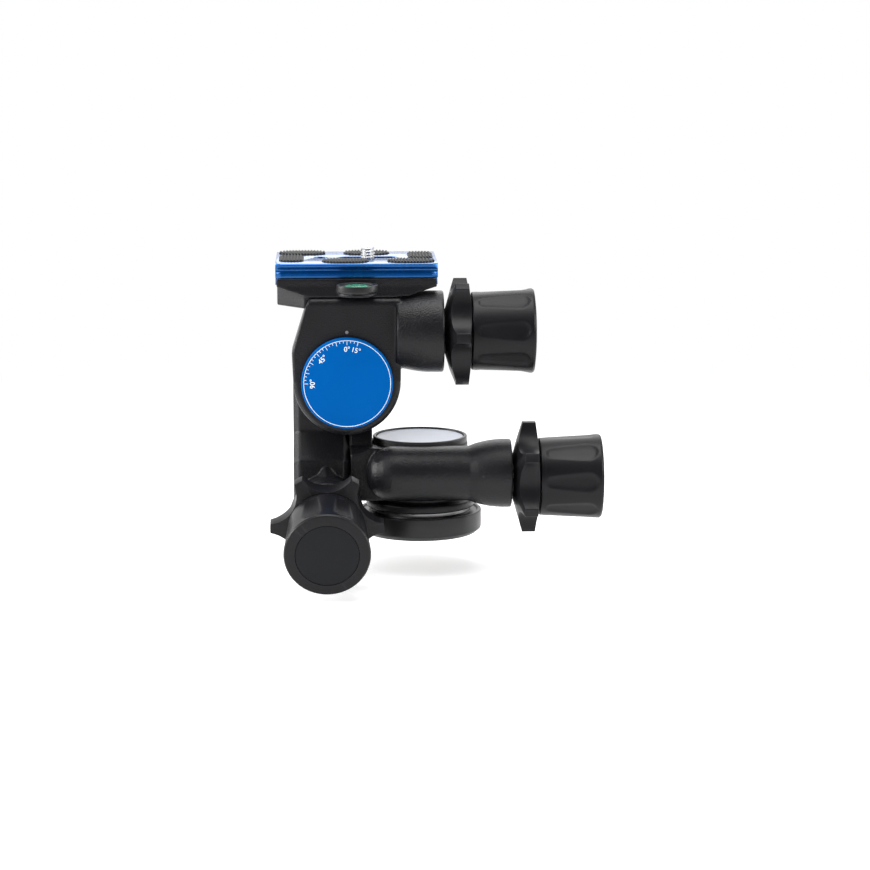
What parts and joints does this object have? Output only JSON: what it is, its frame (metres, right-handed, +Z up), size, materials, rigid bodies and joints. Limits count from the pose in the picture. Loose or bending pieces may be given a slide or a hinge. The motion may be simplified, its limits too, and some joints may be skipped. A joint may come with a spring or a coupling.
{
  "type": "geared tripod head",
  "caption": "Geared tripod head with three worm-driven axes, release collars, round level and a quick-release plate clamp.",
  "frame": {"origin": "centre of the base's bottom face, on the pan axis and in the mouth plane of the tripod thread", "axes": "+X to the right towards the pan knob, +Y away from the user, +Z up along the pan axis"},
  "size_m": [0.1433, 0.1224, 0.1387],
  "materials": {
    "black_paint": "satin",
    "dark_grey": "matte",
    "steel": "satin",
    "brass": "satin",
    "blue_anodised": "satin",
    "pale_dial": "satin",
    "rubber": "matte",
    "green_liquid": "gloss",
    "clear_glass": "gloss",
    "white_paint": "matte"
  },
  "bodies": {
    "foot": {"base_disc": "black_paint", "tripod_bush": "steel", "base_grub_screws": "steel", "thrust_washer": "steel", "keeper_washer": "steel", "pan_wheel": "brass"},
    "pan": {"pan_housing": "black_paint", "pan_rim": "black_paint", "pan_dial": "pale_dial", "pan_bushes": "brass", "pan_end_ring": "black_paint", "tilt_axle": "steel", "tilt_cap": "dark_grey", "tilt_spacer": "steel", "tilt_wheel": "brass"},
    "pan_release": {"pan_collar": "dark_grey"},
    "pan_fine": {"pan_worm": "steel", "pan_knob": "dark_grey", "pan_knob_cap": "dark_grey"},
    "bracket": {"arm": "black_paint", "tilt_bushes": "brass", "tilt_end_ring": "black_paint", "side_axle": "steel", "side_dial": "blue_anodised", "side_spacer": "steel", "side_wheel": "brass", "side_nut": "steel"},
    "tilt_release": {"tilt_collar": "dark_grey"},
    "tilt_fine": {"tilt_worm": "steel", "tilt_knob": "dark_grey", "tilt_knob_cap": "dark_grey"},
    "top": {"upper_housing": "black_paint", "index_mark": "white_paint", "side_bushes": "brass", "side_end_ring": "black_paint", "clamp_base": "black_paint", "clamp_bolts": "steel", "level_cup": "black_paint", "level_vial": "green_liquid", "level_lens": "clear_glass"},
    "side_release": {"side_collar": "dark_grey"},
    "side_fine": {"side_worm": "steel", "side_knob": "dark_grey", "side_knob_cap": "dark_grey"},
    "jaw": {"clamp_jaw": "black_paint"},
    "clamp_hand": {"clamp_screw": "steel", "clamp_knob": "dark_grey"},
    "quick_plate": {"plate": "blue_anodised", "plate_pads": "rubber"},
    "carrier": {"screw_washer": "steel"},
    "mount_screw": {"camera_screw": "steel"}
  },
  "joints": [
    {"name": "pan_turn", "type": "hinge", "parent": "foot", "child": "pan", "pos_m": [0, 0, 0], "axis": [0, 0, 1], "continuous": true},
    {"name": "front_tilt", "type": "hinge", "parent": "pan", "child": "bracket", "pos_m": [-0.0415, 0, 0.0365], "axis": [1, 0, 0], "range_deg": [-90, 30]},
    {"name": "side_tilt", "type": "hinge", "parent": "bracket", "child": "top", "pos_m": [-0.0324, 0, 0.0709], "axis": [0, -1, 0], "range_deg": [-15, 90]},
    {"name": "pan_knob_turn", "type": "hinge", "parent": "pan", "child": "pan_fine", "pos_m": [0, -0.022, 0.028], "axis": [1, 0, 0], "continuous": true},
    {"name": "tilt_knob_turn", "type": "hinge", "parent": "bracket", "child": "tilt_fine", "pos_m": [-0.0415, 0.00314, 0.02081], "axis": [0, -0.9806, -0.1959], "range_deg": [-660, 1980]},
    {"name": "side_knob_turn", "type": "hinge", "parent": "top", "child": "side_fine", "pos_m": [-0.0324, -0.0185, 0.0919], "axis": [1, 0, 0], "range_deg": [-2880, 480]},
    {"name": "pan_release_turn", "type": "hinge", "parent": "pan", "child": "pan_release", "pos_m": [0, -0.022, 0.028], "axis": [1, 0, 0], "range_deg": [0, 30], "stiffness_Nm_per_rad": 0.15, "springref_deg": -17.19},
    {"name": "tilt_release_turn", "type": "hinge", "parent": "bracket", "child": "tilt_release", "pos_m": [-0.0415, 0.00314, 0.02081], "axis": [0, -0.9806, -0.1959], "range_deg": [0, 30], "stiffness_Nm_per_rad": 0.15, "springref_deg": -17.19},
    {"name": "side_release_turn", "type": "hinge", "parent": "top", "child": "side_release", "pos_m": [-0.0324, -0.0185, 0.0919], "axis": [1, 0, 0], "range_deg": [0, 30], "stiffness_Nm_per_rad": 0.15, "springref_deg": -17.19},
    {"name": "clamp_knob_turn", "type": "hinge", "parent": "jaw", "child": "clamp_hand", "pos_m": [-0.028, 0, 0.1046], "axis": [0, 1, 0], "range_deg": [-720, 0]},
    {"name": "clamp_jaw_slide", "type": "slide", "parent": "top", "child": "jaw", "axis": [0, 1, 0], "range_m": [0, 0.0025]},
    {"name": "plate_slide", "type": "slide", "parent": "top", "child": "quick_plate", "axis": [1, 0, 0], "range_m": [-0.02, 0.005]},
    {"name": "camera_screw_slide", "type": "slide", "parent": "quick_plate", "child": "carrier", "axis": [1, 0, 0], "range_m": [-0.009, 0.009]},
    {"name": "camera_screw_turn", "type": "hinge", "parent": "carrier", "child": "mount_screw", "pos_m": [-0.0228, 0, 0.117], "axis": [0, 0, 1], "continuous": true}
  ],
  "couplings": [
    {"joint": "pan_knob_turn", "follows": "pan_turn", "ratio": 34},
    {"joint": "tilt_knob_turn", "follows": "front_tilt", "ratio": -22},
    {"joint": "side_knob_turn", "follows": "side_tilt", "ratio": -32},
    {"joint": "clamp_knob_turn", "follows": "clamp_jaw_slide", "rad_per_m": -5026.5}
  ]
}
